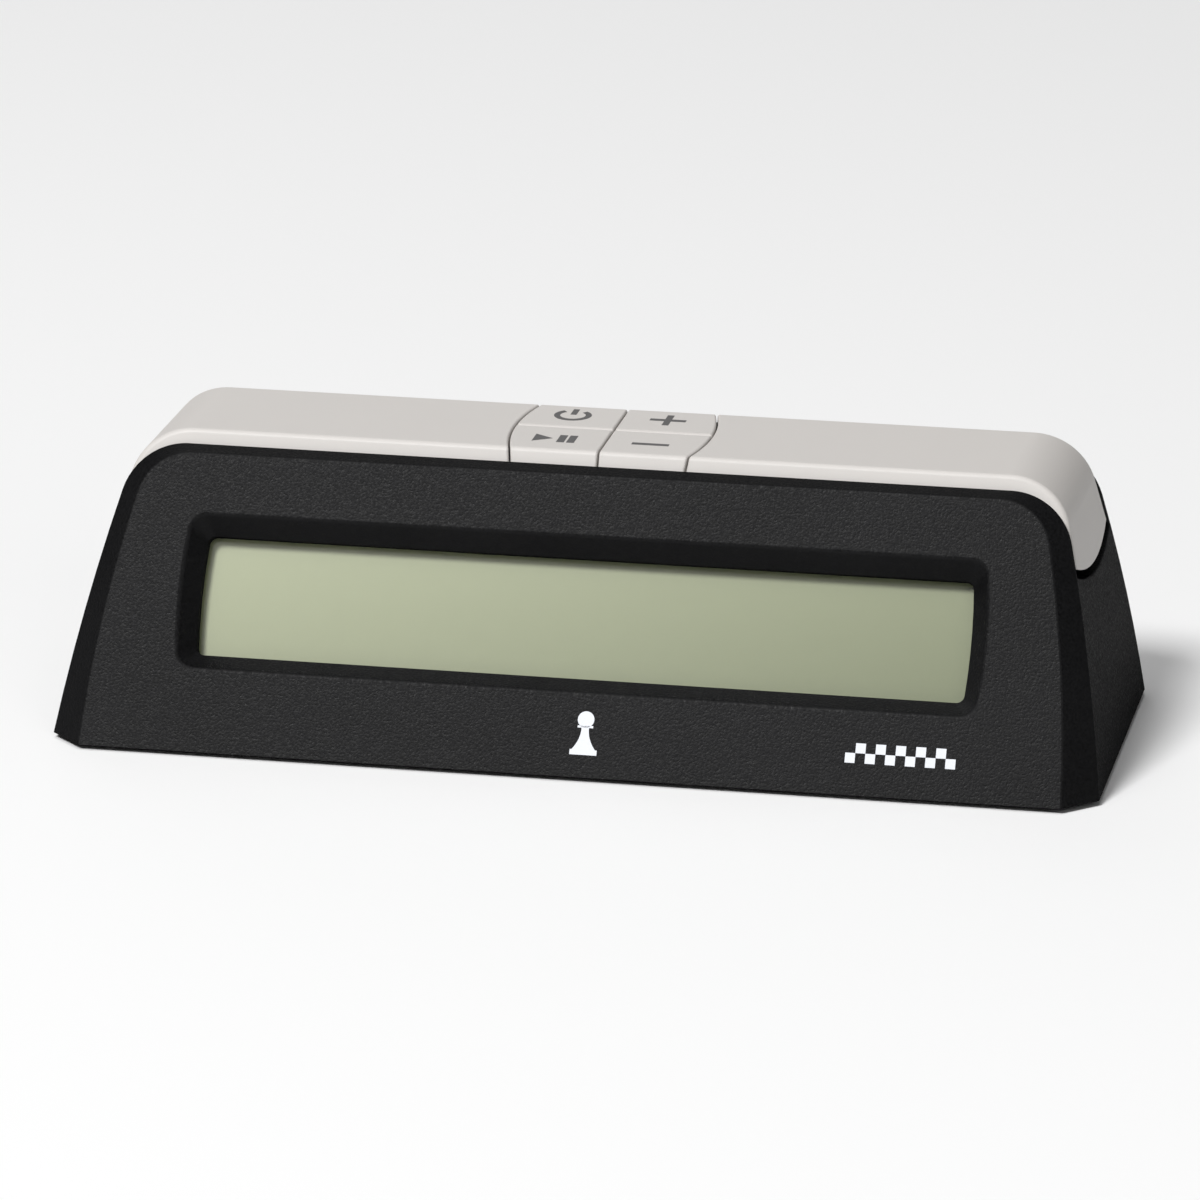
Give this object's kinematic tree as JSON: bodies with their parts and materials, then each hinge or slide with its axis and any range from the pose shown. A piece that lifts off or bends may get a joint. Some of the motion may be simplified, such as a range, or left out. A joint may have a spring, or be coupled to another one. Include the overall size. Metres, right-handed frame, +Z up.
{
  "type": "digital chess clock",
  "caption": "Digital chess clock: dark wedge case with a slanted recessed display, a light full-length rocker lever that wraps over both ends, and push buttons set in its middle.",
  "frame": {"origin": "middle of the footprint, at the level that the rubber feet stand on", "axes": "+X along the case, to the right of a player who faces the display; +Y from the display side to the back; +Z up"},
  "size_m": [0.154, 0.059, 0.0419],
  "materials": {
    "case_black": "fine-textured black ABS",
    "base_black": "fine-textured black ABS",
    "foot_rubber": "soft black rubber",
    "screw_steel": "zinc-plated steel",
    "clear_lens": "clear acrylic",
    "lcd_glass": "grey-green reflective display behind glass",
    "frame_white": "white ABS",
    "zebra_rubber": "layered silicone",
    "board_green": "solder mask on glass laminate",
    "chip_black": "moulded epoxy",
    "crystal_can": "drawn metal can",
    "capacitor_sleeve": "shrink sleeve",
    "switch_black": "black nylon",
    "link_white": "flat flexible cable",
    "cell_sleeve": "printed steel can, plain blue",
    "contact_nickel": "nickel-plated spring steel",
    "lead_red": "PVC insulation",
    "bush_white": "acetal",
    "spring_steel": "bright spring steel",
    "lever_grey": "fine-textured light warm grey ABS"
  },
  "bodies": {
    "case": {"front_housing": "case_black", "rear_housing": "case_black", "base_plate": "base_black", "rubber_feet": "foot_rubber", "base_screws": "screw_steel", "display_lens": "clear_lens", "lcd_panel": "lcd_glass", "lcd_frame": "frame_white", "elastomer_connectors": "zebra_rubber", "main_board": "board_green", "main_board_screws": "screw_steel", "controller_chip": "chip_black", "clock_crystal": "crystal_can", "capacitors": "capacitor_sleeve", "piezo_buzzer": "chip_black", "switch_board": "board_green", "switch_board_screws": "screw_steel", "button_switches": "switch_black", "lever_switches": "switch_black", "board_link": "link_white", "battery": "cell_sleeve", "contact_plate": "contact_nickel", "contact_spring": "contact_nickel", "battery_leads": "lead_red", "pivot_bushes": "bush_white", "pivot_keepers": "base_black", "lever_springs": "spring_steel"},
    "lever": {"rocker_lever": "lever_grey", "pivot_shaft": "spring_steel"},
    "power_key": {"power_button": "lever_grey"},
    "plus_key": {"plus_button": "lever_grey"},
    "play_pause_key": {"play_pause_button": "lever_grey"},
    "minus_key": {"minus_button": "lever_grey"},
    "door": {"battery_door": "base_black"}
  },
  "joints": [
    {"name": "lever_rock", "type": "hinge", "parent": "case", "child": "lever", "pos_m": [0, 0.0076, 0.032], "axis": [0, 1, 0], "range_deg": [-0.8, 0.8], "stiffness_Nm_per_rad": 2.5, "deforming": ["lever_springs"]},
    {"name": "power_press", "type": "slide", "parent": "case", "child": "power_key", "axis": [0, 0, -1], "range_m": [0, 0.0006], "stiffness_N_per_m": 800},
    {"name": "plus_press", "type": "slide", "parent": "case", "child": "plus_key", "axis": [0, 0, -1], "range_m": [0, 0.0006], "stiffness_N_per_m": 800},
    {"name": "play_pause_press", "type": "slide", "parent": "case", "child": "play_pause_key", "axis": [0, 0, -1], "range_m": [0, 0.0006], "stiffness_N_per_m": 800},
    {"name": "minus_press", "type": "slide", "parent": "case", "child": "minus_key", "axis": [0, 0, -1], "range_m": [0, 0.0006], "stiffness_N_per_m": 800},
    {"name": "door_lift_off", "type": "slide", "parent": "case", "child": "door", "axis": [0, 0, -1], "range_m": [0, 0.012]}
  ]
}
